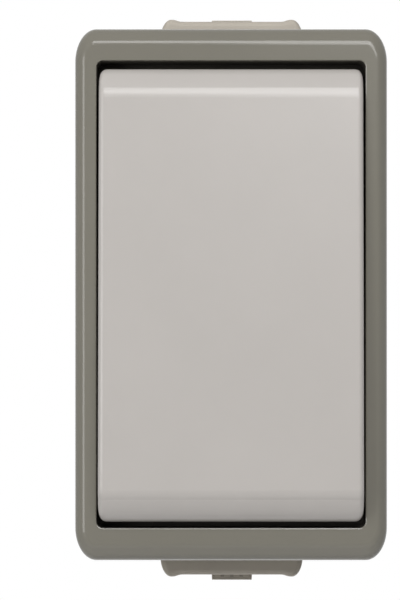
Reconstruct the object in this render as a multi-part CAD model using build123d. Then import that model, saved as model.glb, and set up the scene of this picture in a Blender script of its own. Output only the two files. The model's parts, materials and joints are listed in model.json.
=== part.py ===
from build123d import *
import os
from math import cos, radians, sin, tan

# Surface-mounted rocker light switch, in millimetres.
# X runs to the right, Z runs up and the front faces -Y. The origin is the middle of the back, on the wall.
# A depth is a distance from the wall towards the viewer, so a depth of 10 lies at Y = -10.

# Cover frame
frame_width = 66.0
frame_height = 112.5
frame_corner_x = 4.5  # quarter-ellipse corners of the outline
frame_corner_z = 7.0
bevel_x = 1.8  # sloping band around the face, at the sides
bevel_z = 3.2  # the same at the top and bottom
bevel_drop = 1.5  # depth of the band's outer edge behind the face
bevel_crease = 2.0  # rounding between the band and the face
bevel_edge = 2.4  # rounding between the band and the skirt
frame_plate = 2.4  # thickness of the bezel
frame_skirt = 13.0  # reach of the outer wall behind the bezel face
frame_wall = 1.6
bezel_end_extra = 2.35  # how much wider the bezel is at the top and bottom than at the sides
opening_corner = 1.4
opening_lip = 0.2  # bevel of the opening's front edge
lip_thickness = 0.8  # of the bezel in front of the seal's collar
well_depth = 8.2  # reach of the wall around the rocker behind the bezel face
well_wall = 1.4
well_clearance = 0.3
inner_corner_least = 0.4
snap_length = 16.0  # ribs that hold the frame on the housing
snap_height = 1.2
snap_reach = 0.5
snap_behind_gasket = 5.5
snap_play = 0.5

# Rear housing
housing_inset = 0.7  # step from the frame's outline to the housing's
housing_corner = 4.0
cavity_corner = 2.4
housing_wall = 2.2
housing_back = 2.4
housing_back_round = 1.2
rim_clearance = 0.2
parting_gap = 0.3  # between the frame's rear edge and the housing's shoulder
gasket_height = 1.4
wall_slot_spacing = 60.0
wall_slot_length = 8.0
wall_slot_width = 4.4
knockout_diameter = 18.0  # thin ring for a cable from behind
knockout_groove = 1.2
knockout_depth = 0.8
knockout_web = 2.0  # between a ring and the wall slot beside it
boss_radius = 3.8
post_width = 3.6  # corner posts under the seal
post_length = 5.0

# Cable entries
entry_reach = 5.25  # how far the ends of the hood stand out beyond the frame
entry_dip = 0.45  # how far the middle of its edge lies behind the ends
entry_width = 31.4
entry_corner_x = 2.4
entry_corner_z = 4.4
entry_lobe = 2.6  # width of the slope from an end down to the middle
entry_cover = 1.7  # hood in front of the neck
entry_round = 1.2
entry_wall_gap = 0.4  # between the hood and the wall
cable_radius = 4.5
entry_neck = 2.2  # rubber around the cable where it passes the housing's wall
entry_flange = 1.2
entry_flange_length = 1.6
entry_flange_gap = 0.3  # between the flange and the housing's back
entry_clearance = 0.1
tongue_width = 9.4
tongue_taper = 0.2  # how much each side draws in towards the end
tongue_reach = 2.25  # pull tongue at the back, beyond the hood
tongue_gap = 0.9  # between the tongue and the cable
tongue_thickness = 3.0
tongue_ribs = 4  # grip on its front
tongue_rib_height = 0.5
tongue_rib_gap = 0.7
tongue_rim = 0.6

# Seal behind the rocker
seal_thickness = 1.2
seal_window_margin = 1.0
seal_bead = 1.0
seal_collar = 0.6  # thickness of the upstand that lines the well

# Rocker
rocker_side_gap = 0.35
rocker_end_gap = 1.37
rocker_sag = 0.17  # middle of the rocker below the pivot
rocker_proud = 3.5  # face above the bezel when level
rocker_wall = 2.0
rocker_skirt = 5.0  # reach of its sides behind the bezel face when level
rocker_draft = 0.3
rocker_corner_x = 2.2
rocker_corner_z = 4.0
rocker_edge_round = 1.15
rocker_round_share = 0.95  # most of the corners' tightest bend that the rounding takes
band_length = 5.7  # sloping ends of the face
band_slope = 28.0  # mean slope of a band
band_bend = 8.0  # how much flatter it starts and steeper it ends
crease_radius = 5.5
rocker_tilt = 2.3  # degrees to each side of level
rocker_rib = 1.2
rocker_rib_height = 1.6
rocker_rib_spacing = 36.0
rocker_rib_length = 76.0
hook_width = 10.0
hook_wall = 1.4
hook_nib = 0.7
hook_clearance = 0.1

# Rocker cradle, pin, plunger and spring
pin_radius = 1.25
pin_clearance = 0.05
pin_chamfer = 0.25
cradle_width = 24.0
cradle_height = 30.0
cradle_plate = 2.2
cradle_corner = 2.0
hub_width = 15.6
hub_height = 8.4
hub_behind_pivot = 3.3
stem_radius = 3.8
stem_end = 11.5  # end of the stem behind the pivot
lever_behind_stem = 8.0  # the lever's axis behind the stem
bore_radius = 2.1
bore_top = 2.5  # end of the plunger's bore behind the pivot
plunger_radius = 2.0
plunger_body = 5.5
nose_radius = 1.1
nose_length = 1.3
spigot_radius = 1.0
spigot_length = 1.5
plunger_gap = 0.15  # between nose and lever when the rocker is level
spring_radius = 1.5
spring_wire = 0.24
wire_side_count = 5  # sides that stand for the round wire
spring_turns = 4.0

# Insert
insert_width = 44.0
insert_height = 52.0
insert_corner = 2.0
insert_cover_thickness = 3.2
insert_base_depth = 20.0
insert_back_gap = 7.0  # wiring space behind the insert
lug_wall = 2.5
lug_gap = 0.4  # beside the cradle's hub
lug_round = 2.3
lug_clearance = 0.5  # between a lug and the cradle's plate
window_margin = 0.6
ear_radius = 4.5
ear_thickness = 4.0
cover_ear_thickness = 1.2
ear_x = 16.0
insert_screw_radius = 1.4
insert_screw_clearance = 0.05
insert_screw_length = 15.0
insert_screw_head = 3.0
insert_screw_head_gap = 0.2  # between its head and the seal
screw_slot_width = 0.8
screw_slot_depth = 0.9

# Contacts and terminals
contact_tilt = 7.0  # degrees to each side of level
lever_length = 22.4
lever_width = 7.0
lever_thickness = 0.8
lever_above_axis = 3.0  # front face of the lever ahead of its axis
lever_flange_height = 4.4
fulcrum_radius = 0.8
fulcrum_clearance = 0.05
contact_offset = 9.0  # moving contacts from the lever's axis
contact_dome = 3.0
contact_height = 0.8
contact_gap = 0.1  # left between closed contacts
contact_shank = 0.8
fixed_contact_radius = 2.0
strip_thickness = 1.0
strip_width = 5.0
strip_below_axis = 0.9
strip_clearance = 0.2
trench_margin = 1.1
terminal_side = 10.0  # middle of the terminals in from the insert's sides
terminal_wall = 2.8  # insert's wall outside the terminals
clamp_width = 8.0
clamp_length = 7.0
clamp_wall = 1.2
clamp_top = 2.2
clamp_window = 6.6
clamp_float = 0.6  # between the strip and the clamp's lower wall
clamp_clearance = 0.2
terminal_screw_radius = 1.7
terminal_screw_clearance = 0.05
terminal_screw_reach = 3.6  # below the clamp's top wall
terminal_screw_head = 2.9
terminal_screw_head_height = 2.0
wire_hole_radius = 2.0
driver_hole_margin = 0.3

# Depths that follow from the sizes above
base_back = housing_back + insert_back_gap
base_front = base_back + insert_base_depth
ear_back = base_front - ear_thickness
seal_back = base_front + insert_cover_thickness
well_back = seal_back + seal_thickness
frame_front = well_back + well_depth
plate_back = frame_front - frame_plate
skirt_back = frame_front - frame_skirt
shoulder = skirt_back - parting_gap
rim_top = plate_back - gasket_height
snap_depth = plate_back - snap_behind_gasket
rocker_face = frame_front + rocker_proud
rocker_back = frame_front - rocker_skirt
rocker_inside = rocker_face - rocker_wall
cradle_back = rocker_inside - cradle_plate
pivot = cradle_back - lug_clearance - lug_round
hub_back = pivot - hub_behind_pivot
stem_back = pivot - stem_end
bore_end = pivot - bore_top
lever_axis = stem_back - lever_behind_stem
lever_front = lever_axis + lever_above_axis
lever_back = lever_front - lever_thickness
nose_tip = lever_front + plunger_gap
plunger_shoulder = nose_tip + nose_radius + nose_length
plunger_top = plunger_shoulder + plunger_body
strip_top = lever_axis - strip_below_axis
strip_back = strip_top - strip_thickness
clamp_back = strip_back - clamp_float - clamp_wall
clamp_front = clamp_back + clamp_wall + clamp_window + clamp_top
cable_depth = housing_back + entry_flange_gap + entry_flange + entry_neck + cable_radius
entry_front = cable_depth + cable_radius + entry_neck + entry_cover
tongue_front = cable_depth - cable_radius - tongue_gap

# Widths, heights and places that follow
cavity_inset = housing_inset + housing_wall
bezel_side = cavity_inset + well_clearance + well_wall
bezel_end = bezel_side + bezel_end_extra
opening_width = frame_width - 2 * bezel_side
opening_height = frame_height - 2 * bezel_end
well_height = opening_height + 2 * well_wall
housing_height = frame_height - 2 * housing_inset
rim_inset = frame_wall + rim_clearance
rocker_width = opening_width - 2 * rocker_side_gap
rocker_height = opening_height - 2 * rocker_end_gap
rocker_round = min(rocker_edge_round, rocker_round_share * rocker_corner_x**2 / rocker_corner_z)
knockout_z = (wall_slot_spacing - wall_slot_length - knockout_diameter) / 2 - knockout_web
lug_inside = hub_width / 2 + lug_gap
lug_outside = lug_inside + lug_wall
ear_z = insert_height / 2 + ear_radius
clamp_x = insert_width / 2 - terminal_side
clamp_z = insert_height / 2 - terminal_wall - clamp_clearance - clamp_length / 2
insert_screw_back = base_front + cover_ear_thickness
insert_screw_tip = insert_screw_back - insert_screw_length
insert_screw_head_height = insert_cover_thickness - cover_ear_thickness - insert_screw_head_gap
ears = [(ear_x, ear_z), (-ear_x, -ear_z)]
clamps = {
    "common_upper_clamp": (clamp_x, clamp_z),
    "common_lower_clamp": (clamp_x, -clamp_z),
    "upper_clamp": (-clamp_x, clamp_z),
    "lower_clamp": (-clamp_x, -clamp_z),
}


def plan(depth):
    """Plane parallel to the wall, seen from the front: local x is X, local y is Z, out is the viewer."""
    return Plane(origin=(0, -depth, 0), x_dir=(1, 0, 0), z_dir=(0, -1, 0))


def slab(sketch, back, front):
    """A plan sketch made solid from one depth to another."""
    return extrude(plan(back) * sketch, amount=front - back)


def side_view(sketch, left, right):
    """A sketch in (Z, depth) made solid from one X to another."""
    plane = Plane(origin=(left, 0, 0), x_dir=(0, 0, 1), z_dir=(1, 0, 0))
    return extrude(plane * sketch, amount=right - left)


def rod(x, z, radius, back, front):
    """A round bar that stands on the wall side at (x, z)."""
    return slab(Pos(x, z) * Circle(radius), back, front)


def oblong(x_low, x_high, z_low, z_high):
    """A plain rectangle given by its limits."""
    return Pos((x_low + x_high) / 2, (z_low + z_high) / 2) * Rectangle(x_high - x_low, z_high - z_low)


def soft_rectangle(width, height, corner_x, corner_z):
    """A rectangle with quarter-ellipse corners."""
    flat_x = width / 2 - corner_x
    flat_z = height / 2 - corner_z
    corners = [(1, 1, 0), (-1, 1, 90), (-1, -1, 180), (1, -1, 270)]
    arcs = []
    for side_x, side_z, start in corners:
        centre = (side_x * flat_x, side_z * flat_z)
        arcs.append(EllipticalCenterArc(centre, corner_x, corner_z, start_angle=start, arc_size=90))
    lines = []
    for index, arc in enumerate(arcs):
        lines.append(Line(arc @ 1, arcs[(index + 1) % 4] @ 0))
    return make_face(arcs + lines)


def frame_outline(inset):
    """The frame's outline moved in by the same amount all round."""
    corner_x = max(frame_corner_x - inset, inner_corner_least)
    corner_z = max(frame_corner_z - inset, inner_corner_least)
    return soft_rectangle(frame_width - 2 * inset, frame_height - 2 * inset, corner_x, corner_z)


def frame_skin():
    """The frame's outside: an upright skirt and a sloping band that is rounded at both of its edges."""
    band_back = frame_front - bevel_drop
    face = soft_rectangle(
        frame_width - 2 * bevel_x,
        frame_height - 2 * bevel_z,
        frame_corner_x - bevel_x,
        frame_corner_z - bevel_z,
    )
    band = loft([plan(band_back) * frame_outline(0), plan(frame_front) * face], ruled=True)
    skin = slab(frame_outline(0), skirt_back, band_back) + band
    outer_rim = skin.edges().group_by(Axis.Y)[2]  # behind the face's edges and the lines at the corners
    skin = fillet(outer_rim, bevel_edge)
    return fillet(skin.faces().sort_by(Axis.Y)[0].edges(), bevel_crease)


def opening_outline(grow):
    """The rocker's opening, widened by the same amount all round."""
    return RectangleRounded(opening_width + 2 * grow, opening_height + 2 * grow, opening_corner + grow)


def housing_outline(inset, corner):
    """The housing's outline or its cavity's, measured in from the frame's outline."""
    return RectangleRounded(frame_width - 2 * inset, frame_height - 2 * inset, corner)


def upright_box(x_half, z_from, z_to, back, front):
    """A block centred on X, between two heights in either order."""
    return slab(oblong(-x_half, x_half, min(z_from, z_to), max(z_from, z_to)), back, front)


def snap_ribs(play):
    """The two catches inside the top and bottom of the skirt, or with play the grooves for them."""
    inner = frame_height / 2 - frame_wall
    tip = inner - snap_reach - play / 2
    half_length = snap_length / 2 + play
    back = snap_depth - snap_height / 2 - play / 2
    front = snap_depth + snap_height / 2 + play / 2
    return [upright_box(half_length, side * inner, side * tip, back, front) for side in (1, -1)]


def cover_frame():
    """Dark bezel with a skirt over the housing's rim and a well around the rocker."""
    body = frame_skin()
    body -= slab(frame_outline(frame_wall), skirt_back, plate_back) - slab(
        opening_outline(well_wall), well_back, plate_back
    )
    body -= slab(opening_outline(0), skirt_back, frame_front)
    body -= slab(opening_outline(seal_collar), well_back, frame_front - lip_thickness)
    lip = body.faces().sort_by(Axis.Y)[0].inner_wires()[0].edges()
    body = chamfer(lip, opening_lip)
    for rib in snap_ribs(0):
        body += rib
    return body


def frame_gasket():
    """Rubber ring between the housing's rim and the back of the bezel."""
    ring = frame_outline(rim_inset) - housing_outline(cavity_inset, cavity_corner)
    return slab(ring, rim_top, plate_back)


def entry_neck_block(grow):
    """Where the top cable entry passes the housing's end wall."""
    half = cable_radius + entry_neck + grow
    outer = housing_height / 2
    return upright_box(half, outer - housing_wall, outer, cable_depth - half, cable_depth + half)


def corner_posts():
    """Posts in the housing's corners that carry the rim of the seal."""
    posts = []
    for side_x in (1, -1):
        for side_z in (1, -1):
            x = side_x * (frame_width / 2 - cavity_inset - post_width / 2)
            z = side_z * (well_height / 2 - post_length / 2)
            posts.append(slab(Pos(x, z) * Rectangle(post_width, post_length), housing_back, seal_back))
    return posts


def rear_housing():
    """Open box against the wall, with a stepped rim, screw bosses, wall slots and cable windows."""
    body = slab(housing_outline(housing_inset, housing_corner), 0, shoulder)
    body = fillet(body.faces().sort_by(Axis.Y)[-1].edges(), housing_back_round)
    body += slab(frame_outline(rim_inset), shoulder, rim_top)
    body -= slab(housing_outline(cavity_inset, cavity_corner), housing_back, rim_top)
    for x, z in ears:
        body += rod(x, z, boss_radius, housing_back, ear_back)
    for post in corner_posts():
        body += post
    for x, z in ears:
        body -= rod(x, z, insert_screw_radius + insert_screw_clearance, insert_screw_tip, ear_back)
    for side in (1, -1):
        slot = SlotOverall(wall_slot_length, wall_slot_width, rotation=90)
        body -= slab(Pos(0, side * wall_slot_spacing / 2) * slot, 0, housing_back)
        ring = Circle(knockout_diameter / 2) - Circle(knockout_diameter / 2 - knockout_groove)
        body -= slab(Pos(0, side * knockout_z) * ring, 0, knockout_depth)
    window = entry_neck_block(entry_clearance)
    body -= window
    body -= window.rotate(Axis.Y, 180)
    for groove in snap_ribs(snap_play):
        body -= groove
    return body


def hood_outline():
    """Front view of the top cable entry: rounded ends that stand out a little past the middle."""
    root = housing_height / 2
    end = frame_height / 2 + entry_reach
    half = entry_width / 2
    tip_x = half - entry_corner_x
    flat_x = tip_x - entry_lobe
    middle = end - entry_dip
    edges = [Line((-half, root), (half, root))]
    for side in (1, -1):
        start = 90 - side * 90
        centre = (side * tip_x, end - entry_corner_z)
        corner = EllipticalCenterArc(centre, entry_corner_x, entry_corner_z, start, arc_size=side * 90)
        slope = Bezier(
            (side * tip_x, end),
            (side * (tip_x - entry_lobe / 2), end),
            (side * (flat_x + entry_lobe / 2), middle),
            (side * flat_x, middle),
        )
        edges += [Line((side * half, root), corner @ 0), corner, slope]
    edges.append(Line((flat_x, middle), (-flat_x, middle)))
    return make_face(edges)


def pull_tongue():
    """Small tapering tongue at the back of the entry, with grip ribs on its front."""
    root = housing_height / 2 + entry_corner_z / 2
    end = frame_height / 2 + entry_reach - entry_dip + tongue_reach
    foot = tongue_width / 2
    tip = foot - tongue_taper
    outline = make_face(Polyline((-foot, root), (foot, root), (tip, end), (-tip, end), close=True))
    back = tongue_front - tongue_thickness
    tongue = slab(outline, back, tongue_front - tongue_rib_height)
    pitch = (2 * (tip - tongue_rim) + tongue_rib_gap) / tongue_ribs
    rib = upright_box((pitch - tongue_rib_gap) / 2, root, end - tongue_rim, back, tongue_front)
    for index in range(tongue_ribs):
        tongue += Pos((index - (tongue_ribs - 1) / 2) * pitch, 0, 0) * rib
    return tongue


def top_cable_entry():
    """Soft cable entry: a hood outside, a neck through the wall and a flange inside."""
    hood = slab(hood_outline(), entry_wall_gap, entry_front)
    rim = hood.faces().sort_by(Axis.Y)[0].edges().sort_by(Axis.Z)[1:]
    hood = fillet(rim, entry_round)
    inner = housing_height / 2 - housing_wall
    half = cable_radius + entry_neck + entry_flange
    flange = upright_box(half, inner - entry_flange_length, inner, cable_depth - half, cable_depth + half)
    body = hood + entry_neck_block(0) + flange + pull_tongue()
    mouth = Plane(origin=(0, -cable_depth, inner - entry_flange_length), z_dir=(0, 0, 1))
    return body - extrude(mouth * Circle(cable_radius), amount=frame_height / 2 + entry_reach - inner + half)


def bottom_cable_entry():
    """The same entry at the other end of the housing."""
    return top_cable_entry().rotate(Axis.Y, 180)


def splash_seal():
    """Black sheet behind the rocker, with a collar up the frame's well and a bead round its window."""
    half_x = lug_outside + seal_window_margin
    half_z = hub_height / 2 + seal_window_margin + lug_round
    sheet = slab(opening_outline(well_wall) - Rectangle(2 * half_x, 2 * half_z), seal_back, well_back)
    ring = Rectangle(2 * (half_x + seal_bead), 2 * (half_z + seal_bead)) - Rectangle(2 * half_x, 2 * half_z)
    collar = opening_outline(seal_collar) - opening_outline(0)
    sheet += slab(collar, well_back, frame_front - lip_thickness)
    return sheet + slab(ring, well_back, well_back + seal_bead)


def rocker_form(inset, back):
    """Solid under the rocker's faces, moved in by an inset at its face, ends and sides."""
    slope = radians(band_slope)
    half = rocker_height / 2 - inset
    face = rocker_face - inset
    crease = rocker_height / 2 - band_length - inset * tan(slope / 2)
    edge = face - (half - crease) * tan(slope)
    bulge = (half - crease) / cos(slope) * tan(radians(band_bend) / 2) / 2
    profile = make_face(
        [
            Line((-half, back), (half, back)),
            Line((half, back), (half, edge)),
            SagittaArc((half, edge), (crease, face), -bulge),
            Line((crease, face), (-crease, face)),
            SagittaArc((-crease, face), (-half, edge), -bulge),
            Line((-half, edge), (-half, back)),
        ]
    )
    creases = profile.vertices().group_by(Axis.Y)[-1]
    profile = fillet(creases, crease_radius)
    width = rocker_width - 2 * inset
    height = rocker_height - 2 * inset
    taper = 2 * rocker_draft
    foot = soft_rectangle(width, height, rocker_corner_x, rocker_corner_z)
    top = soft_rectangle(width - taper, height - taper, rocker_corner_x, rocker_corner_z)
    drafted = loft([plan(back) * foot, plan(rocker_face + rocker_wall) * top], ruled=True)
    return side_view(profile, -rocker_width, rocker_width) & drafted


def rocker_hooks():
    """Hooks under the rocker that grip the ends of the cradle's plate."""
    inner = cradle_height / 2 + hook_clearance
    low = cradle_back - hook_clearance
    hook = Polyline(
        (inner, rocker_inside),
        (inner + hook_wall, rocker_inside),
        (inner + hook_wall, low - hook_nib),
        (inner - hook_nib, low - hook_nib / 2),
        (inner - hook_nib, low),
        (inner, low),
        close=True,
    )
    upper = side_view(make_face(hook), -hook_width / 2, hook_width / 2)
    return [upper, upper.rotate(Axis.Y, 180)]


def on_front_rim(edge):
    """Whether an edge of the rocker's form runs round its face, rather than along its skirt."""
    near = rocker_draft + rocker_corner_x / 2
    middle = edge.center()
    steepest = sin(radians(90 + band_slope) / 2)  # half way from the bands' slope to upright
    beside = abs(middle.X) > rocker_width / 2 - near or abs(middle.Z) > rocker_height / 2 - near
    return beside and middle.Y < -(rocker_back + near) and abs(edge.tangent_at(0.5).Y) < steepest


def level_rocker():
    """The rocker as it stands when level: a drafted shell with sloping ends, ribs and hooks."""
    body = rocker_form(0, rocker_back)
    body = fillet(body.edges().filter_by(on_front_rim), rocker_round)
    body -= rocker_form(rocker_wall, rocker_back)
    body = Pos(0, 0, -rocker_sag) * body
    for side in (1, -1):
        rib = oblong(0, rocker_rib, -rocker_rib_length / 2, rocker_rib_length / 2)
        place = Pos(side * rocker_rib_spacing / 2 - rocker_rib / 2, 0)
        body += slab(place * rib, rocker_inside - rocker_rib_height, rocker_inside)
    for hook in rocker_hooks():
        body += hook
    return body


def rocked(shape):
    """A piece of the rocker's body, turned from level to rest with the top pressed in."""
    return shape.rotate(Axis((0, -pivot, 0), (1, 0, 0)), -rocker_tilt)


def rocker():
    """The rocker at rest."""
    return rocked(level_rocker())


def pivot_rod(radius, half_length):
    """A bar along the rocker's axis."""
    plane = Plane(origin=(-half_length, -pivot, 0), x_dir=(0, 0, 1), z_dir=(1, 0, 0))
    return extrude(plane * Circle(radius), amount=2 * half_length)


def rocker_cradle():
    """Carrier that the rocker clips to, with a hub on the pin and a stem for the plunger."""
    body = slab(RectangleRounded(cradle_width, cradle_height, cradle_corner), cradle_back, rocker_inside)
    body += slab(Rectangle(hub_width, hub_height), hub_back, cradle_back)
    body += rod(0, 0, stem_radius, stem_back, hub_back)
    body -= pivot_rod(pin_radius, hub_width)
    body -= rod(0, 0, bore_radius, stem_back, bore_end)
    return rocked(body)


def pivot_pin():
    """Steel pin through the cradle's hub and the two lugs."""
    pin = pivot_rod(pin_radius, lug_outside)
    return rocked(chamfer(pin.edges(), pin_chamfer))


def spring_plunger():
    """Plunger with a round nose that rides on the contact lever."""
    profile = make_face(
        [
            Line((0, nose_tip), (0, plunger_top + spigot_length)),
            Line((0, plunger_top + spigot_length), (spigot_radius, plunger_top + spigot_length)),
            Line((spigot_radius, plunger_top + spigot_length), (spigot_radius, plunger_top)),
            Line((spigot_radius, plunger_top), (plunger_radius, plunger_top)),
            Line((plunger_radius, plunger_top), (plunger_radius, plunger_shoulder)),
            Line((plunger_radius, plunger_shoulder), (nose_radius, plunger_shoulder)),
            Line((nose_radius, plunger_shoulder), (nose_radius, nose_tip + nose_radius)),
            CenterArc((0, nose_tip + nose_radius), nose_radius, 0, -90),
        ]
    )
    section = Plane(origin=(0, 0, 0), x_dir=(1, 0, 0), z_dir=(0, 0, -1))
    turned = revolve(section * profile, Axis.Y)
    return rocked(turned)


def toggle_spring():
    """Compression spring between the plunger and the end of its bore."""
    height = bore_end - plunger_top - 2 * spring_wire
    start = plunger_top + spring_wire
    path = Helix(height / spring_turns, height, spring_radius, center=(0, -start, 0), direction=(0, -1, 0))
    section = Plane(origin=path @ 0, z_dir=path % 0) * RegularPolygon(spring_wire, wire_side_count)
    return rocked(sweep(section, path))


def insert_outline():
    """Front view of the insert with its corners rounded."""
    return RectangleRounded(insert_width, insert_height, insert_corner)


def ear_outline():
    """The two ears that take the insert's screws."""
    shape = Sketch()
    for x, z in ears:
        side = 1 if z > 0 else -1
        root = side * (insert_height / 2 - insert_corner)
        shape += oblong(x - ear_radius, x + ear_radius, min(root, z), max(root, z))
        shape += Pos(x, z) * Circle(ear_radius)
    return shape


def strip_channels(grow):
    """Front view of the three contact strips: common on the right, upper and lower on the left."""
    half = strip_width / 2 + grow
    tail = clamp_z + clamp_length / 2 + grow
    bar = oblong(clamp_x - half, clamp_x + half, -tail, tail)
    foot = lever_width / 2 + fulcrum_clearance + grow
    branch = oblong(-foot, clamp_x, -strip_width / 2 - grow, strip_width / 2 + grow)
    common = bar + branch
    pad = fixed_contact_z()
    upper = oblong(-clamp_x - half, strip_width / 2 + grow, pad - half, pad + half)
    upper += oblong(-clamp_x - half, -clamp_x + half, pad - half, tail)
    lower = mirror(upper, Plane.XZ)
    return common, upper, lower


def fixed_contact_z():
    """Height at which a moving contact meets its fixed one."""
    dome_centre = lever_back - contact_height + contact_dome - lever_axis
    tilt = radians(contact_tilt)
    return contact_offset * cos(tilt) + dome_centre * sin(tilt)


def fixed_contact_front():
    """Depth of the fixed contacts' faces, just short of the moving ones when closed."""
    dome_centre = lever_back - contact_height + contact_dome - lever_axis
    tilt = radians(contact_tilt)
    closed = lever_axis + dome_centre * cos(tilt) - contact_offset * sin(tilt) - contact_dome
    return closed - contact_gap


def insert_base():
    """Moulded block with pockets for the strips, the terminals and the lever."""
    body = slab(insert_outline(), base_back, base_front)
    body += slab(ear_outline(), ear_back, base_front)
    trench = Rectangle(lever_width + 2 * trench_margin, lever_length + 2 * trench_margin)
    body -= slab(trench, strip_back, base_front)
    for channel in strip_channels(strip_clearance):
        body -= slab(channel, strip_back, base_front)
    wire_depth = (strip_top + clamp_back + clamp_wall + clamp_window) / 2
    for x, z in clamps.values():
        pocket = Rectangle(clamp_width + 2 * clamp_clearance, clamp_length + 2 * clamp_clearance)
        body -= slab(Pos(x, z) * pocket, clamp_back, base_front)
        side = 1 if z > 0 else -1
        mouth = Plane(origin=(x, -wire_depth, z), z_dir=(0, 0, side))
        body -= extrude(mouth * Circle(wire_hole_radius), amount=insert_height / 2)
    for x, z in ears:
        body -= rod(x, z, insert_screw_radius + insert_screw_clearance, ear_back, base_front)
    return body


def insert_cover():
    """Lid of the insert with two lugs for the rocker's pin and holes for a screwdriver."""
    body = slab(insert_outline(), base_front, seal_back)
    body += slab(ear_outline(), base_front, insert_screw_back)
    lug = make_face(
        [
            Line((-lug_round, seal_back), (lug_round, seal_back)),
            Line((lug_round, seal_back), (lug_round, pivot)),
            CenterArc((0, pivot), lug_round, 0, 180),
            Line((-lug_round, pivot), (-lug_round, seal_back)),
        ]
    )
    body += side_view(lug, lug_inside, lug_outside)
    body += side_view(lug, -lug_outside, -lug_inside)
    body -= pivot_rod(pin_radius + pin_clearance, lug_outside)
    swing = (pivot - base_front) * sin(radians(rocker_tilt))
    half_x = stem_radius + window_margin
    half_z = stem_radius + window_margin + swing
    body -= slab(Rectangle(2 * half_x, 2 * half_z), base_front, seal_back)
    for x, z in clamps.values():
        body -= rod(x, z, terminal_screw_head + driver_hole_margin, base_front, seal_back)
    for x, z in ears:
        body -= rod(x, z, insert_screw_radius + insert_screw_clearance, base_front, insert_screw_back)
    return body


def slotted_screw(x, z, radius, tip, head_radius, head_back, head_height):
    """A screw seen from its slotted head, with its shank towards the wall."""
    front = head_back + head_height
    body = rod(x, z, radius, tip, head_back) + rod(x, z, head_radius, head_back, front)
    slot = Pos(x, z) * Rectangle(2 * head_radius, screw_slot_width)
    return body - slab(slot, front - screw_slot_depth, front)


def insert_screws():
    """Two screws that hold the insert on the housing's bosses."""
    screws = []
    for x, z in ears:
        screws.append(
            slotted_screw(
                x,
                z,
                insert_screw_radius,
                insert_screw_tip,
                insert_screw_head,
                insert_screw_back,
                insert_screw_head_height,
            )
        )
    return Compound(screws)


def common_strip():
    """Strip through both right-hand terminals, with the rounded fulcrum that the lever rocks on."""
    common = strip_channels(0)[0]
    post = make_face(
        [
            Line((-fulcrum_radius, strip_top), (fulcrum_radius, strip_top)),
            Line((fulcrum_radius, strip_top), (fulcrum_radius, lever_axis)),
            CenterArc((0, lever_axis), fulcrum_radius, 0, 180),
            Line((-fulcrum_radius, lever_axis), (-fulcrum_radius, strip_top)),
        ]
    )
    half = lever_width / 2 + fulcrum_clearance
    return slab(common, strip_back, strip_top) + side_view(post, -half, half)


def contact_strip(index, side):
    """Strip from a fixed contact to its terminal, with a hole for the contact's shank."""
    body = slab(strip_channels(0)[index], strip_back, strip_top)
    return body - rod(0, side * fixed_contact_z(), contact_shank, strip_back, strip_top)


def upper_strip():
    """Strip of the upper contact."""
    return contact_strip(1, 1)


def lower_strip():
    """Strip of the lower contact."""
    return contact_strip(2, -1)


def fixed_contacts():
    """Two flat contact rivets on the strips."""
    rivets = []
    for side in (1, -1):
        z = side * fixed_contact_z()
        head = rod(0, z, fixed_contact_radius, strip_top, fixed_contact_front())
        rivets.append(head + rod(0, z, contact_shank, strip_back, strip_top))
    return Compound(rivets)


def terminal_clamp(x, z):
    """Cage that pulls a wire against the strip."""
    body = slab(Pos(x, z) * Rectangle(clamp_width, clamp_length), clamp_back, clamp_front)
    window = Pos(x, z) * Rectangle(clamp_width - 2 * clamp_wall, clamp_length)
    window_front = clamp_front - clamp_top
    body -= slab(window, clamp_back + clamp_wall, window_front)
    return body - rod(x, z, terminal_screw_radius + terminal_screw_clearance, window_front, clamp_front)


def terminal_screws():
    """One screw in each clamp."""
    tip = clamp_front - clamp_top - terminal_screw_reach
    screws = []
    for x, z in clamps.values():
        screws.append(
            slotted_screw(
                x, z, terminal_screw_radius, tip, terminal_screw_head, clamp_front, terminal_screw_head_height
            )
        )
    return Compound(screws)


def levered(shape):
    """A piece of the lever's body, turned from level to rest with the lower contact closed."""
    return shape.rotate(Axis((0, -lever_axis, 0), (1, 0, 0)), contact_tilt)


def contact_lever():
    """Rocking contact: a web for the plunger and two flanges notched over the fulcrum."""
    body = slab(Rectangle(lever_width, lever_length), lever_back, lever_front)
    flange_outline = oblong(-lever_flange_height / 2, lever_flange_height / 2, lever_axis, lever_back)
    flange_outline -= Pos(0, lever_axis) * Circle(fulcrum_radius + fulcrum_clearance)
    for side in (1, -1):
        outer = side * lever_width / 2
        inner = side * (lever_width / 2 - lever_thickness)
        body += side_view(flange_outline, min(outer, inner), max(outer, inner))
    for side in (1, -1):
        body -= rod(0, side * contact_offset, contact_shank, lever_back, lever_front)
    return levered(body)


def moving_contacts():
    """Two domed contact rivets on the lever."""
    dome_centre = lever_back - contact_height + contact_dome
    rivets = []
    for side in (1, -1):
        z = side * contact_offset
        ball = Pos(0, -dome_centre, z) * Sphere(contact_dome)
        head = ball & rod(0, z, contact_dome, lever_back - contact_height, lever_back)
        rivets.append(levered(head + rod(0, z, contact_shank, lever_back, lever_front)))
    return Compound(rivets)


pieces = {
    "rear_housing": rear_housing,
    "top_cable_entry": top_cable_entry,
    "bottom_cable_entry": bottom_cable_entry,
    "cover_frame": cover_frame,
    "frame_gasket": frame_gasket,
    "splash_seal": splash_seal,
    "insert_base": insert_base,
    "insert_cover": insert_cover,
    "insert_screws": insert_screws,
    "common_strip": common_strip,
    "upper_strip": upper_strip,
    "lower_strip": lower_strip,
    "fixed_contacts": fixed_contacts,
    "terminal_screws": terminal_screws,
    "rocker": rocker,
    "rocker_cradle": rocker_cradle,
    "pivot_pin": pivot_pin,
    "spring_plunger": spring_plunger,
    "toggle_spring": toggle_spring,
    "contact_lever": contact_lever,
    "moving_contacts": moving_contacts,
}

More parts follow.
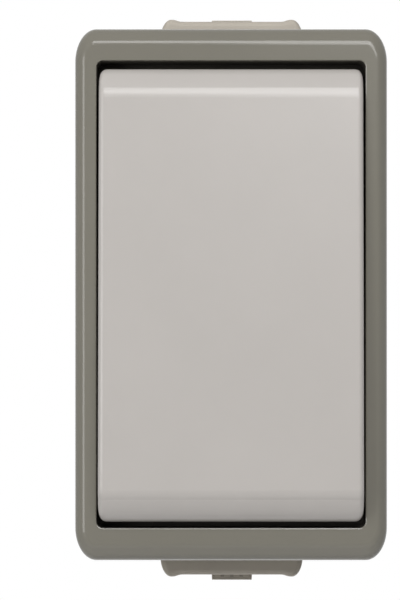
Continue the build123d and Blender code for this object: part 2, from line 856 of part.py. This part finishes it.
os.makedirs("parts", exist_ok=True)
for name, make in pieces.items():
    export_step(make(), f"parts/{name}.step")
for name, (x, z) in clamps.items():
    export_step(terminal_clamp(x, z), f"parts/{name}.step")
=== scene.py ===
import bmesh
import bpy
import json
import math
from mathutils import Matrix, Vector


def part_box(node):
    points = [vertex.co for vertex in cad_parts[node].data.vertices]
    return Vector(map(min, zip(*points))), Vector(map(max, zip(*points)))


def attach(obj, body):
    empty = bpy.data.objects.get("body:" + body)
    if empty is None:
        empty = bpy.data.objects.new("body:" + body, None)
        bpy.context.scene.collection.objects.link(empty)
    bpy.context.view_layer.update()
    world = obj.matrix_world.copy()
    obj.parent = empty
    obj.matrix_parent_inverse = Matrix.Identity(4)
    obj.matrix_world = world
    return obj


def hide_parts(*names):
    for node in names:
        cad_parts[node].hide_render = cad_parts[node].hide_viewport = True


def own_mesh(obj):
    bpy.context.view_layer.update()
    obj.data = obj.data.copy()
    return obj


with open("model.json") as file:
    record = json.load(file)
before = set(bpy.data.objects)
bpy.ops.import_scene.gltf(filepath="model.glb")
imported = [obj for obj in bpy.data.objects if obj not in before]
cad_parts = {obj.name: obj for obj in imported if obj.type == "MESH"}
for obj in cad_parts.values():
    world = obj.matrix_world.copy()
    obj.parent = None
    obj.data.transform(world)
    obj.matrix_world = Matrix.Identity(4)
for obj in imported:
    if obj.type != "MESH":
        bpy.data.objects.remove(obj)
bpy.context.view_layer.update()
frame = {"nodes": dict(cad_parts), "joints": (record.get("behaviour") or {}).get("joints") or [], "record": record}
joints = {joint["name"]: joint for joint in frame["joints"]}
print("frame loaded:", len(frame["nodes"]), "nodes")


# Scene and node helpers

def addObject(name, data):
    thing = bpy.data.objects.new(name, data)
    bpy.context.scene.collection.objects.link(thing)
    return thing


def feed(tree, node, inputs):
    for socket, value in inputs.items():
        if isinstance(value, bpy.types.NodeSocket):
            tree.links.new(value, node.inputs[socket])
        else:
            node.inputs[socket].default_value = value


def addNode(tree, kind, inputs):
    node = tree.nodes.new(kind)
    feed(tree, node, inputs)
    return node


def newMaterial(name):
    material = bpy.data.materials.new(name)
    material.use_nodes = True
    tree = material.node_tree
    return material, tree, tree.nodes["Principled BSDF"]


def maths(tree, operation, *values):
    node = tree.nodes.new("ShaderNodeMath")
    node.operation = operation
    feed(tree, node, dict(enumerate(values)))
    return node.outputs["Value"]


def objectCoords(tree, stretch=(1.0, 1.0, 1.0)):
    coords = tree.nodes.new("ShaderNodeTexCoord").outputs["Object"]
    return addNode(tree, "ShaderNodeMapping", {"Vector": coords, "Scale": stretch}).outputs["Vector"]


def noise(tree, vector, scale, detail, roughness):
    inputs = {"Vector": vector, "Scale": scale, "Detail": detail, "Roughness": roughness}
    return addNode(tree, "ShaderNodeTexNoise", inputs).outputs["Fac"]


def cells(tree, vector, scale, output):
    return addNode(tree, "ShaderNodeTexVoronoi", {"Vector": vector, "Scale": scale}).outputs[output]


def shades(tree, fac, limits, dark, light):
    node = addNode(tree, "ShaderNodeValToRGB", {"Fac": fac})
    for element, place, color in zip(node.color_ramp.elements, limits, (dark, light)):
        element.position = place
        element.color = (*color, 1.0)
    return node.outputs["Color"]


def spread(tree, fac, results, limits=(0.0, 1.0)):
    inputs = {
        "Value": fac,
        "From Min": limits[0],
        "From Max": limits[1],
        "To Min": results[0],
        "To Max": results[1],
    }
    return addNode(tree, "ShaderNodeMapRange", inputs).outputs["Result"]


def bump(tree, height, strength, distance):
    inputs = {"Height": height, "Strength": strength, "Distance": distance}
    return addNode(tree, "ShaderNodeBump", inputs).outputs["Normal"]


# Plastics: cloudy colour, fine moulded grain, faint scuffs in the gloss

plasticGrain = {
    "cloud": {"scale": 45.0, "detail": 4.0, "roughness": 0.6},
    "cloudLimits": (0.3, 0.7),
    "grain": {"scale": 2600.0, "detail": 3.0, "roughness": 0.5},
    "grainStrength": 0.06,
    "grainDepth": 0.00002,
    "scuff": {"scale": 60.0, "detail": 6.0, "roughness": 0.7},
    "scuffStretch": (9.0, 9.0, 1.0),  # so that scuffs run up and down
    "scuffLimits": (0.58, 0.75),
    "scuffDulling": 0.04,
}


def makePlastic(name, dark, light, roughness, gloss):
    material, tree, shader = newMaterial(name)
    coords = objectCoords(tree)
    cloud = noise(tree, coords, **plasticGrain["cloud"])
    grain = noise(tree, coords, **plasticGrain["grain"])
    scuff = noise(tree, objectCoords(tree, plasticGrain["scuffStretch"]), **plasticGrain["scuff"])
    worn = spread(tree, scuff, (0.0, plasticGrain["scuffDulling"]), plasticGrain["scuffLimits"])
    surface = {
        "Base Color": shades(tree, cloud, plasticGrain["cloudLimits"], dark, light),
        "Roughness": maths(tree, "ADD", spread(tree, grain, roughness), worn),
        "Normal": bump(tree, grain, plasticGrain["grainStrength"], plasticGrain["grainDepth"]),
        "Specular IOR Level": gloss,
    }
    feed(tree, shader, surface)
    return material


# Rubbers: small pores, a dusty bloom, and painted shade that darkens the colour in creases and where parts meet

rubberSkin = {
    "bloom": {"scale": 110.0, "detail": 5.0, "roughness": 0.65},
    "bloomLimits": (0.3, 0.7),
    "pores": 1900.0,
    "poreStrength": 0.15,
    "poreDepth": 0.00003,
    # reach and darkest colour factor of the painted shade in creases
    "creaseReach": 0.0012,
    "paintedCreaseShade": 0.45,
}


def makeRubber(name, dark, light, roughness, gloss):
    material, tree, shader = newMaterial(name)
    coords = objectCoords(tree)
    bloom = noise(tree, coords, **rubberSkin["bloom"])
    pores = cells(tree, coords, rubberSkin["pores"], "Distance")
    # painted shade: ambient occlusion darkens the rubber's colour in creases, gaps and next to neighbouring parts
    paintedShadeMask = addNode(tree, "ShaderNodeAmbientOcclusion", {"Distance": rubberSkin["creaseReach"]})
    colorWithPaintedShade = tree.nodes.new("ShaderNodeVectorMath")
    colorWithPaintedShade.operation = "SCALE"
    paintedShading = {
        "Vector": shades(tree, bloom, rubberSkin["bloomLimits"], dark, light),
        "Scale": spread(tree, paintedShadeMask.outputs["AO"], (rubberSkin["paintedCreaseShade"], 1.0)),
    }
    feed(tree, colorWithPaintedShade, paintedShading)
    surface = {
        "Base Color": colorWithPaintedShade.outputs["Vector"],
        "Roughness": spread(tree, bloom, roughness),
        "Normal": bump(tree, pores, rubberSkin["poreStrength"], rubberSkin["poreDepth"]),
        "Specular IOR Level": gloss,
    }
    feed(tree, shader, surface)
    return material


# Metals: drawn lines, crystals in the plating, or tarnish, over a soft stain

metalSkin = {
    "lines": {"scale": 40.0, "detail": 6.0, "roughness": 0.7},
    "lineStretch": (60.0, 60.0, 1.0),  # so that lines run up and down
    "crystals": 1400.0,
    "tarnish": {"scale": 1400.0, "detail": 4.0, "roughness": 0.6},
    "stain": {"scale": 260.0, "detail": 5.0, "roughness": 0.6},
    "stainShare": 0.5,
    "colorLimits": (0.25, 0.7),
    "reliefStrength": 0.2,
    "reliefDepth": 0.00001,
}


def makeMetal(name, dark, light, roughness, pattern):
    material, tree, shader = newMaterial(name)
    stain = noise(tree, objectCoords(tree), **metalSkin["stain"])
    if pattern == "lines":
        relief = noise(tree, objectCoords(tree, metalSkin["lineStretch"]), **metalSkin["lines"])
    elif pattern == "crystals":
        relief = cells(tree, objectCoords(tree), metalSkin["crystals"], "Color")
    else:
        relief = noise(tree, objectCoords(tree), **metalSkin["tarnish"])
    stained = maths(tree, "MULTIPLY", stain, metalSkin["stainShare"])
    mixed = maths(tree, "MULTIPLY_ADD", relief, 1.0 - metalSkin["stainShare"], stained)
    surface = {
        "Base Color": shades(tree, mixed, metalSkin["colorLimits"], dark, light),
        "Roughness": spread(tree, mixed, roughness),
        "Normal": bump(tree, relief, metalSkin["reliefStrength"], metalSkin["reliefDepth"]),
        "Metallic": 1.0,
    }
    feed(tree, shader, surface)
    return material


# One finish for each material slot of the record

finishes = {
    "frame_plastic": makePlastic(
        "warmGreyBezel",
        dark=(0.174, 0.164, 0.132),
        light=(0.184, 0.173, 0.140),
        roughness=(0.12, 0.16),
        gloss=0.5,
    ),
    "rocker_plastic": makePlastic(
        "paleGreyRocker",
        dark=(0.490, 0.463, 0.438),
        light=(0.505, 0.477, 0.452),
        roughness=(0.21, 0.25),
        gloss=0.5,
    ),
    "housing_plastic": makePlastic(
        "warmGreyHousing",
        dark=(0.190, 0.180, 0.146),
        light=(0.204, 0.193, 0.156),
        roughness=(0.38, 0.48),
        gloss=0.4,
    ),
    "entry_rubber": makeRubber(
        "softGreyEntry",
        dark=(0.46, 0.42, 0.362),
        light=(0.495, 0.454, 0.391),
        roughness=(0.5, 0.62),
        gloss=0.3,
    ),
    "seal_rubber": makeRubber(
        "blackSeal",
        dark=(0.078, 0.073, 0.062),
        light=(0.096, 0.090, 0.076),
        roughness=(0.6, 0.75),
        gloss=0.2,
    ),
    "insert_plastic": makePlastic(
        "paleInsert",
        dark=(0.62, 0.60, 0.54),
        light=(0.68, 0.66, 0.60),
        roughness=(0.4, 0.5),
        gloss=0.4,
    ),
    "cradle_plastic": makePlastic(
        "greyCradle",
        dark=(0.27, 0.27, 0.27),
        light=(0.32, 0.32, 0.32),
        roughness=(0.4, 0.5),
        gloss=0.4,
    ),
    "strip_brass": makeMetal(
        "stampedBrass",
        dark=(0.58, 0.39, 0.15),
        light=(0.78, 0.58, 0.27),
        roughness=(0.25, 0.42),
        pattern="lines",
    ),
    "clamp_steel": makeMetal(
        "zincClamp",
        dark=(0.50, 0.52, 0.55),
        light=(0.70, 0.70, 0.69),
        roughness=(0.28, 0.46),
        pattern="crystals",
    ),
    "screw_steel": makeMetal(
        "zincScrew",
        dark=(0.52, 0.52, 0.53),
        light=(0.72, 0.72, 0.70),
        roughness=(0.25, 0.40),
        pattern="crystals",
    ),
    "contact_silver": makeMetal(
        "contactSilver",
        dark=(0.70, 0.68, 0.63),
        light=(0.87, 0.86, 0.83),
        roughness=(0.18, 0.36),
        pattern="tarnish",
    ),
}

slots = {part["node"]: part["material_slot"] for part in frame["record"]["subparts"]}
for nodeName, slotName in slots.items():
    mesh = frame["nodes"][nodeName].data
    mesh.materials.clear()
    mesh.materials.append(finishes[slotName])
print("finishes set:", len(finishes))


# Copies of solids with a finer shape than their own

reshaping = {
    "mergeDistance": 1e-7,
    "slopeStep": 1e-6,
    "intoFace": 0.05,  # a corner is read a little inside its face, on that side of a bend
}


def cutCopy(node, cuts):
    mesh = frame["nodes"][node].data.copy()
    normals = [corner.vector.copy() for corner in mesh.corner_normals]
    work = bmesh.new()
    work.from_mesh(mesh)
    carried = work.loops.layers.float_vector.new("carriedNormal")
    for face in work.faces:
        for loop in face.loops:
            loop[carried] = normals[loop.index]
    merge = reshaping["mergeDistance"]
    bmesh.ops.remove_doubles(work, verts=work.verts, dist=merge)
    for place, facing in cuts:
        everything = work.verts[:] + work.edges[:] + work.faces[:]
        bmesh.ops.bisect_plane(work, geom=everything, dist=merge, plane_co=place, plane_no=facing)
    work.to_mesh(mesh)
    work.free()
    return mesh


def normalTurn(warp, point):
    step = reshaping["slopeStep"]
    slope = []  # one row for each axis, which is the transpose that normals need
    for axis in (Vector((step, 0, 0)), Vector((0, step, 0)), Vector((0, 0, step))):
        slope.append((warp(point + axis) - warp(point - axis)) / (2 * step))
    return Matrix(slope).inverted()


def reshapedCopy(node, name, warp, cuts=()):
    mesh = cutCopy(node, cuts)
    carried = mesh.attributes["carriedNormal"]
    normals = []
    for face in mesh.polygons:
        for corner, vertex in zip(face.loop_indices, face.vertices):
            near = mesh.vertices[vertex].co.lerp(face.center, reshaping["intoFace"])
            normals.append((normalTurn(warp, near) @ carried.data[corner].vector).normalized())
    mesh.attributes.remove(carried)
    for vertex in mesh.vertices:
        vertex.co = warp(vertex.co)
    mesh.normals_split_custom_set(normals)
    return addObject(name, mesh)


def dress(piece, body, node):
    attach(piece, body)
    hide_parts(node)


# Rocker: its corners are squarer than quarter ellipses, its lower end rolls over into a bulging band,
# and both ends turn down softly at their edges

rockerShape = {
    "cornerX": 0.0022,
    "cornerZ": 0.0040,
    "power": 3.0,  # 2 is a quarter ellipse, and more is squarer
    "draft": 0.0003,
    "draftLength": 0.0105,
    "lowerCrease": 0.0434,  # below the pivot when level
    "upperCrease": 0.0431,  # above it
    "creaseReach": 0.0022,
    "creaseTurn": 0.25,  # a turn is the slope that its reach ends with
    "bandReach": 0.0047,
    "bandTurn": 0.30,
    "edgeStart": 0.0030,  # beyond either crease
    "edgeReach": 0.0017,
    "edgeTurn": 0.60,
    "skirt": 0.004,  # from the rim to where the roll is whole
    "cutStep": 0.00035,
}

tilt = joints["rocker_tilt"]
pivot = Vector(tilt["pos_m"])
halfTilt = math.radians(tilt["range_deg"][1] / 2)
toLevel = Matrix.Translation(pivot) @ Matrix.Rotation(halfTilt, 4, "X") @ Matrix.Translation(-pivot)
fromLevel = toLevel.inverted()
levelPoints = [toLevel @ vertex.co for vertex in frame["nodes"]["rocker"].data.vertices]
rockerHalfX = max(point.x for point in levelPoints)
rockerTop = max(point.z for point in levelPoints)
rockerFoot = min(point.z for point in levelPoints)
rockerBack = max(point.y for point in levelPoints)


def squareCorner(level):
    middle = (rockerTop + rockerFoot) / 2
    inset = rockerShape["draft"] * (rockerBack - level.y) / rockerShape["draftLength"]
    centreX = rockerHalfX - inset - rockerShape["cornerX"]
    centreZ = (rockerTop - rockerFoot) / 2 - inset - rockerShape["cornerZ"]
    across = (abs(level.x) - centreX) / rockerShape["cornerX"]
    along = (abs(level.z - middle) - centreZ) / rockerShape["cornerZ"]
    if across <= 0.0 or along <= 0.0:
        return
    reach = math.hypot(across, along)
    power = rockerShape["power"]
    square = ((across / reach) ** power + (along / reach) ** power) ** (-1.0 / power)
    push = 1.0 + (square - 1.0) * min(reach, 1.0) ** 2
    level.x = math.copysign(centreX + across * push * rockerShape["cornerX"], level.x)
    level.z = middle + math.copysign(centreZ + along * push * rockerShape["cornerZ"], level.z - middle)


def rollEnds(level):
    share = min(max((rockerBack - level.y) / rockerShape["skirt"], 0.0), 1.0)
    below = -rockerShape["lowerCrease"] - level.z
    above = level.z - rockerShape["upperCrease"]
    for beyond, reach, turn in (
        (below + rockerShape["creaseReach"], rockerShape["creaseReach"], rockerShape["creaseTurn"]),
        (below, rockerShape["bandReach"], rockerShape["bandTurn"]),
        (below - rockerShape["edgeStart"], rockerShape["edgeReach"], rockerShape["edgeTurn"]),
        (above - rockerShape["edgeStart"], rockerShape["edgeReach"], rockerShape["edgeTurn"]),
    ):
        along = min(max(beyond / reach, 0.0), 1.0)
        level.y += 0.5 * turn * reach * along**2 * share


def rockerWarp(point):
    level = toLevel @ point
    squareCorner(level)
    rollEnds(level)
    return fromLevel @ level


def cutsBetween(low, high):
    facing = fromLevel.to_3x3() @ Vector((0.0, 0.0, 1.0))
    count = math.ceil((high - low) / rockerShape["cutStep"])
    heights = [low + (high - low) * index / count for index in range(count)]
    return [(fromLevel @ Vector((0.0, pivot.y, height)), facing) for height in heights]


lowerCrease = -rockerShape["lowerCrease"]
upperEdge = rockerShape["upperCrease"] + rockerShape["edgeStart"]
rockerCuts = cutsBetween(rockerFoot, lowerCrease)
rockerCuts += cutsBetween(lowerCrease, lowerCrease + rockerShape["creaseReach"])
rockerCuts += cutsBetween(upperEdge, rockerTop)
dress(reshapedCopy("rocker", "rockerShell", rockerWarp, rockerCuts), "rocker", "rocker")


# Bezel: the opening's edge is a shallow bevel

bezelShape = {
    "openingX": 0.0284,
    "openingZ": 0.0493,
    "lip": 0.0002,
    "lipMargin": 1.01,  # takes in the points on the lip's own edge
    "lipShare": 0.34,  # of the lip's depth that is kept
}
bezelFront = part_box("cover_frame")[0].y


def bezelWarp(point):
    lip = bezelShape["lip"] * bezelShape["lipMargin"]
    behind = point.y - bezelFront
    inPlan = abs(point.x) < bezelShape["openingX"] + lip and abs(point.z) < bezelShape["openingZ"] + lip
    if inPlan and 0.0 < behind < lip:
        return Vector((point.x, bezelFront + behind * bezelShape["lipShare"], point.z))
    return point.copy()


dress(reshapedCopy("cover_frame", "bezel", bezelWarp), "housing", "cover_frame")
print("rocker and bezel shaped")


# Wound wire: a spring, or a screw's thread, at each place along an axis

woundInputs = {
    "places": "NodeSocketGeometry",
    "turns": "NodeSocketFloat",
    "coilRadius": "NodeSocketFloat",
    "wireRadius": "NodeSocketFloat",
    "length": "NodeSocketFloat",
    "closedEnds": "NodeSocketFloat",
    "steps": "NodeSocketInt",
    "wireSides": "NodeSocketInt",
    "axis": "NodeSocketVector",
    "finish": "NodeSocketMaterial",
}


def helixPlace(tree, given):
    along = tree.nodes.new("GeometryNodeSplineParameter").outputs["Factor"]
    cycle = maths(tree, "MULTIPLY", along, 2 * math.pi)
    angle = maths(tree, "MULTIPLY", cycle, given["turns"])
    closing = maths(tree, "MULTIPLY", maths(tree, "SINE", cycle), given["closedEnds"])
    share = maths(tree, "SUBTRACT", along, maths(tree, "DIVIDE", closing, 2 * math.pi))
    place = {
        "X": maths(tree, "MULTIPLY", maths(tree, "COSINE", angle), given["coilRadius"]),
        "Y": maths(tree, "MULTIPLY", maths(tree, "SINE", angle), given["coilRadius"]),
        "Z": maths(tree, "MULTIPLY", share, given["length"]),
    }
    return addNode(tree, "ShaderNodeCombineXYZ", place).outputs["Vector"]


def helixWire(tree, given):
    line = tree.nodes.new("GeometryNodeCurvePrimitiveLine").outputs["Curve"]
    points = addNode(tree, "GeometryNodeResampleCurve", {"Curve": line, "Count": given["steps"]})
    winding = {"Geometry": points.outputs["Curve"], "Position": helixPlace(tree, given)}
    wound = addNode(tree, "GeometryNodeSetPosition", winding)
    outline = {"Resolution": given["wireSides"], "Radius": given["wireRadius"]}
    section = addNode(tree, "GeometryNodeCurvePrimitiveCircle", outline)
    sweep = {
        "Curve": wound.outputs["Geometry"],
        "Profile Curve": section.outputs["Curve"],
        "Fill Caps": True,
    }
    return addNode(tree, "GeometryNodeCurveToMesh", sweep).outputs["Mesh"]


def woundTree():
    tree = bpy.data.node_groups.new("woundWire", "GeometryNodeTree")
    for name, kind in woundInputs.items():
        tree.interface.new_socket(name, in_out="INPUT", socket_type=kind)
    tree.interface.new_socket("mesh", in_out="OUTPUT", socket_type="NodeSocketGeometry")
    given = tree.nodes.new("NodeGroupInput").outputs
    turned = addNode(tree, "FunctionNodeAlignRotationToVector", {"Vector": given["axis"]})
    turned.axis = "Z"
    setting = {
        "Points": given["places"],
        "Instance": helixWire(tree, given),
        "Rotation": turned.outputs["Rotation"],
    }
    copies = addNode(tree, "GeometryNodeInstanceOnPoints", setting).outputs["Instances"]
    real = addNode(tree, "GeometryNodeRealizeInstances", {"Geometry": copies}).outputs["Geometry"]
    painting = {"Geometry": real, "Material": given["finish"]}
    painted = addNode(tree, "GeometryNodeSetMaterial", painting).outputs["Geometry"]
    addNode(tree, "NodeGroupOutput", {"mesh": painted})
    return tree


def grow(name, tree, places, **values):
    seed = bpy.data.meshes.new(name + "Places")
    seed.from_pydata([tuple(place) for place in places], [], [])
    host = addObject(name + "Host", seed)
    modifier = host.modifiers.new("growth", "NODES")
    modifier.node_group = tree
    for socket in tree.interface.items_tree:
        if socket.in_out == "INPUT" and socket.name in values:
            modifier[socket.identifier] = values[socket.name]
    depsgraph = bpy.context.evaluated_depsgraph_get()
    mesh = bpy.data.meshes.new_from_object(host.evaluated_get(depsgraph), depsgraph=depsgraph)
    bpy.data.objects.remove(host)
    mesh.shade_smooth()
    return addObject(name, mesh)


woundWire = woundTree()

# Spring behind the plunger, with closed end turns

springCoil = {
    "turns": 6.0,
    "coilRadius": 0.0015,
    "wireRadius": 0.00022,
    "wireSides": 10,
    "closedEnds": 0.75,  # 0 is an even pitch, and 1 lays both ends flat
    "stepsPerTurn": 32,
}

slide = Vector(joints["plunger_slide"]["axis"]).normalized()
springLow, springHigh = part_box("toggle_spring")
springHead = pivot + slide * ((springLow.y - pivot.y) / slide.y)
springFoot = pivot + slide * ((springHigh.y - pivot.y) / slide.y)
springLength = (springHead - springFoot).length
spring = grow(
    "springCoil",
    woundWire,
    [springFoot + slide * springCoil["wireRadius"]],
    turns=springCoil["turns"],
    coilRadius=springCoil["coilRadius"],
    wireRadius=springCoil["wireRadius"],
    wireSides=springCoil["wireSides"],
    length=springLength - 2 * springCoil["wireRadius"],
    closedEnds=springCoil["closedEnds"],
    steps=int(springCoil["turns"] * springCoil["stepsPerTurn"]),
    axis=tuple(slide),
    finish=finishes["screw_steel"],
)
dress(spring, "rocker", "toggle_spring")
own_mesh(spring)

# Threads on the screws' shanks

insertThread = {
    "pitch": 0.0008,
    "shank": 0.0014,
    "length": 0.0128,
    "headRadius": 0.003,
    "wireRadius": 0.00016,
    "wireSides": 10,
    "stepsPerTurn": 20,
}

terminalThread = {
    "pitch": 0.0006,
    "shank": 0.0017,
    "length": 0.0052,
    "wireRadius": 0.00012,
    "wireSides": 10,
    "stepsPerTurn": 20,
}


def addThread(name, thread, places):
    turns = thread["length"] / thread["pitch"]
    piece = grow(
        name,
        woundWire,
        places,
        turns=turns,
        coilRadius=thread["shank"],
        wireRadius=thread["wireRadius"],
        wireSides=thread["wireSides"],
        length=thread["length"],
        closedEnds=0.0,
        steps=int(turns * thread["stepsPerTurn"]),
        axis=(0.0, -1.0, 0.0),
        finish=finishes["screw_steel"],
    )
    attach(piece, "housing")


screwLow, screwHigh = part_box("insert_screws")
screwInset = insertThread["headRadius"]
screwTip = screwHigh.y - 2 * insertThread["wireRadius"]
screwPlaces = [
    (screwHigh.x - screwInset, screwTip, screwHigh.z - screwInset),
    (screwLow.x + screwInset, screwTip, screwLow.z + screwInset),
]
addThread("insertThreads", insertThread, screwPlaces)

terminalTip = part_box("terminal_screws")[1].y - 2 * terminalThread["wireRadius"]
terminalPlaces = []
for clampName in ("common_upper_clamp", "common_lower_clamp", "upper_clamp", "lower_clamp"):
    clampLow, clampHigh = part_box(clampName)
    terminalPlaces.append(((clampLow.x + clampHigh.x) / 2, terminalTip, (clampLow.z + clampHigh.z) / 2))
addThread("terminalThreads", terminalThread, terminalPlaces)
print("spring and threads wound")


# Camera, square on to the switch and a little below its middle

camera = {
    "distance": 0.5,  # from the outline of the bezel
    "outlineDepth": 0.0394,
    "side": 0.0024,
    "height": -0.0177,
    "lens": 141.66,
    "sensor": 36.0,
    "shiftX": -0.0707,
    "shiftY": 0.1305,
    "clipStart": 0.01,
    "clipEnd": 20.0,
}


def addCamera():
    data = bpy.data.cameras.new("camera")
    data.lens = camera["lens"]
    data.sensor_width = camera["sensor"]
    data.shift_x = camera["shiftX"]
    data.shift_y = camera["shiftY"]
    data.clip_start = camera["clipStart"]
    data.clip_end = camera["clipEnd"]
    cameraObject = addObject("camera", data)
    cameraObject.location = (camera["side"], -camera["outlineDepth"] - camera["distance"], camera["height"])
    cameraObject.rotation_euler = (math.pi / 2, 0.0, 0.0)
    bpy.context.scene.camera = cameraObject


addCamera()
print("camera set")


# Light and stage

studio = {
    "white": (1.0, 1.0, 1.0, 1.0),
    "worldLight": 0.10,
    "floorHeight": -0.55,
    "floorHalf": 4.0,
    "floorColor": (0.8, 0.8, 0.8, 1.0),
    "floorGlow": 0.93,  # lifts the lit floor to white, and leaves the shadow on it
    "lampTarget": (0.0, -0.04, 0.0),
    "lampDistance": 1.0,
}

softboxes = {
    "topSoftbox": {
        "turn": 6.0,  # degrees to the right of the viewer's line
        "rise": 42.0,  # degrees above it
        "size": (0.70, 0.42),
        "glow": 5.0,
        "mirrored": True,  # shows in gloss
    },
    "leftSoftbox": {
        "turn": -40.0,
        "rise": 2.0,
        "size": (0.40, 0.48),
        "glow": 3.7,
        "mirrored": True,
    },
    "leftFill": {
        "turn": -40.0,
        "rise": 27.0,
        "size": (0.40, 0.40),
        "glow": 3.4,
        "mirrored": False,
    },
    "rightSoftbox": {
        "turn": 14.5,
        "rise": 23.0,
        "size": (0.44, 0.36),
        "glow": 4.6,
        "mirrored": True,
    },
    "backSoftbox": {
        "turn": 180.0,
        "rise": -10.0,
        "size": (0.80, 0.60),
        "glow": 3.0,
        "mirrored": False,
    },
}


def seenDirectly(tree):
    rays = tree.nodes.new("ShaderNodeLightPath").outputs
    clear = maths(tree, "MAXIMUM", rays["Is Camera Ray"], rays["Is Transmission Ray"])
    return maths(tree, "MAXIMUM", clear, rays["Is Glossy Ray"])


def addWorld():
    world = bpy.data.worlds.new("studioWorld")
    bpy.context.scene.world = world
    world.use_nodes = True
    tree = world.node_tree
    tree.nodes.clear()
    strength = maths(tree, "MAXIMUM", seenDirectly(tree), studio["worldLight"])
    background = addNode(tree, "ShaderNodeBackground", {"Color": studio["white"], "Strength": strength})
    addNode(tree, "ShaderNodeOutputWorld", {"Surface": background.outputs["Background"]})


def addSoftbox(name, softbox):
    data = bpy.data.lights.new(name, "AREA")
    data.shape = "RECTANGLE"
    data.size, data.size_y = softbox["size"]
    data.energy = softbox["glow"] * math.pi * data.size * data.size_y
    turn = math.radians(softbox["turn"])
    rise = math.radians(softbox["rise"])
    outward = Vector((math.sin(turn) * math.cos(rise), -math.cos(turn) * math.cos(rise), math.sin(rise)))
    lamp = addObject(name, data)
    lamp.location = Vector(studio["lampTarget"]) + outward * studio["lampDistance"]
    lamp.rotation_euler = outward.to_track_quat("Z", "Y").to_euler()
    lamp.visible_glossy = softbox["mirrored"]


def makeFloorFinish():
    material = bpy.data.materials.new("paleFloor")
    material.use_nodes = True
    tree = material.node_tree
    tree.nodes.clear()
    matte = addNode(tree, "ShaderNodeBsdfDiffuse", {"Color": studio["floorColor"]}).outputs["BSDF"]
    shine = {"Color": studio["white"], "Strength": studio["floorGlow"]}
    glow = addNode(tree, "ShaderNodeEmission", shine).outputs["Emission"]
    lifted = addNode(tree, "ShaderNodeAddShader", {0: matte, 1: glow}).outputs["Shader"]
    mixing = {0: seenDirectly(tree), 1: matte, 2: lifted}
    mixed = addNode(tree, "ShaderNodeMixShader", mixing).outputs["Shader"]
    addNode(tree, "ShaderNodeOutputMaterial", {"Surface": mixed})
    return material


def addFloor():
    half = studio["floorHalf"]
    height = studio["floorHeight"]
    mesh = bpy.data.meshes.new("floor")
    corners = [(-half, -half, height), (half, -half, height), (half, half, height), (-half, half, height)]
    mesh.from_pydata(corners, [], [(0, 1, 2, 3)])
    mesh.materials.append(makeFloorFinish())
    addObject("floor", mesh)


addWorld()
for softboxName, softbox in softboxes.items():
    addSoftbox(softboxName, softbox)
addFloor()
bpy.context.scene.view_settings.view_transform = "Standard"
print("studio lit:", len(softboxes), "lamps")
